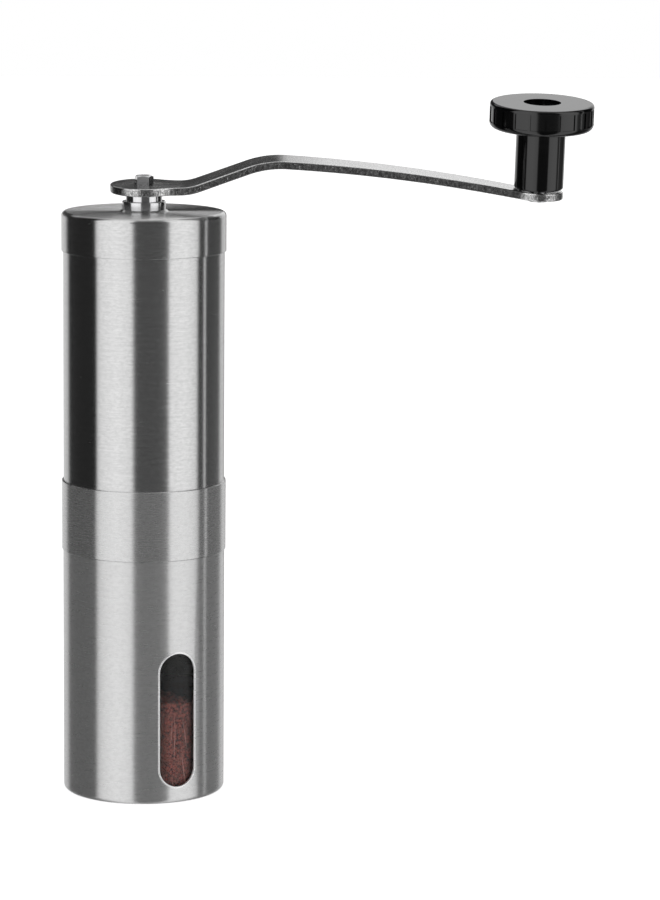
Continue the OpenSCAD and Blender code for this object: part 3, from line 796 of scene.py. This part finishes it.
def make_window_edge(materials):
    """The polished, rounded edge of the window, where the cup's wall was deburred, in a lightened
    steel that paints a highlight along the rim.
    """
    bm = bmesh.new()
    outward = Vector((math.sin(SLOT_BEARING), -math.cos(SLOT_BEARING), 0))
    across = Vector((math.cos(SLOT_BEARING), math.sin(SLOT_BEARING), 0))
    loops = []
    for u, v, ou, ov in slot_outline(EDGE_POINTS):
        loop = []
        for reach, rise in EDGE_PROFILE:
            pu = u + ou * reach
            out = math.sqrt((CUP_R + rise) ** 2 - pu * pu)
            up = Vector((0, 0, SLOT_Z + SLOT_LEN / 2 + v + ov * reach))
            loop.append(bm.verts.new((across * pu + outward * out + up) * MM))
        loops.append(loop)
    for i, loop in enumerate(loops):
        following = loops[(i + 1) % len(loops)]
        for k in range(len(EDGE_PROFILE)):
            m = (k + 1) % len(EDGE_PROFILE)
            bm.faces.new((loop[k], following[k], following[m], loop[m]))
    add_piece("window_edge", bm, "cup", "body_steel", materials["edge_highlight_steel"])


# The coffee in the cup, in mm: it fills the liner, with its corner cut off at the floor
LINER_IN_R = 21.72
LINER_FLOOR_Z = 1.87
COFFEE_TOP = 29.5
FLOOR_SHARE = 0.93
CORNER_H = 1.6
WALL_GAP = 0.02
WALL_GRAIN = 0.22
TOP_GRAIN = 0.18
COFFEE_AROUND = 300
COFFEE_ROWS = 60
COFFEE_RINGS = 36


def coffee_height(x, y):
    """Height of the coffee's surface: a low heap that fell from the burrs, a little uneven."""
    r = math.hypot(x, y)
    swell = 1.3 * math.exp(-((r - 9) / 7) ** 2)
    waves = 0.5 * math.sin(0.31 * x + 1.0) * math.cos(0.27 * y)
    return COFFEE_TOP + swell + waves + 0.35 * math.sin(0.9 * x - 0.7 * y)


def coffee_loop(bm, place):
    """One loop of points round the axis. place gives the (radius, height function) of each."""
    loop = []
    for i in range(COFFEE_AROUND):
        a = math.tau * i / COFFEE_AROUND
        r, height = place()
        x, y = r * math.cos(a), r * math.sin(a)
        loop.append(bm.verts.new(Vector((x, y, height(x, y))) * MM))
    return loop


def make_coffee(materials):
    """Ground coffee lying in the cup, seen through the window."""
    rng = random.Random(5)
    corner_z = LINER_FLOOR_Z + CORNER_H
    bm = bmesh.new()
    loops = [coffee_loop(bm, lambda: (LINER_IN_R * FLOOR_SHARE, lambda x, y: LINER_FLOOR_Z))]
    for row in range(COFFEE_ROWS + 1):
        def side_height(x, y):
            return corner_z + (coffee_height(x, y) - corner_z) * row / COFFEE_ROWS

        loops.append(coffee_loop(bm, lambda: (
            LINER_IN_R - WALL_GAP - WALL_GRAIN * rng.random() ** 2, side_height)))
    for step in range(1, COFFEE_RINGS):
        r = LINER_IN_R * (1 - step / COFFEE_RINGS)
        loops.append(coffee_loop(bm, lambda: (
            r, lambda x, y: coffee_height(x, y) + TOP_GRAIN * rng.uniform(-1, 1))))
    for low, high in zip(loops, loops[1:]):
        for i in range(COFFEE_AROUND):
            j = (i + 1) % COFFEE_AROUND
            bm.faces.new((low[i], low[j], high[j], high[i]))
    bm.faces.new(list(reversed(loops[0])))
    bm.faces.new(loops[-1])
    add_piece("ground_coffee", bm, "cup", "burr_ceramic", materials["coffee"])


# ---------------------------------------------------------------- the scene

make_camera()
scene.view_settings.view_transform = "Standard"
make_world()
make_floor()
materials = make_materials()
dress_nodes(materials)
merge_flats("shaft")
merge_flats("knob")
make_arm(materials)
make_window_edge(materials)
make_coffee(materials)
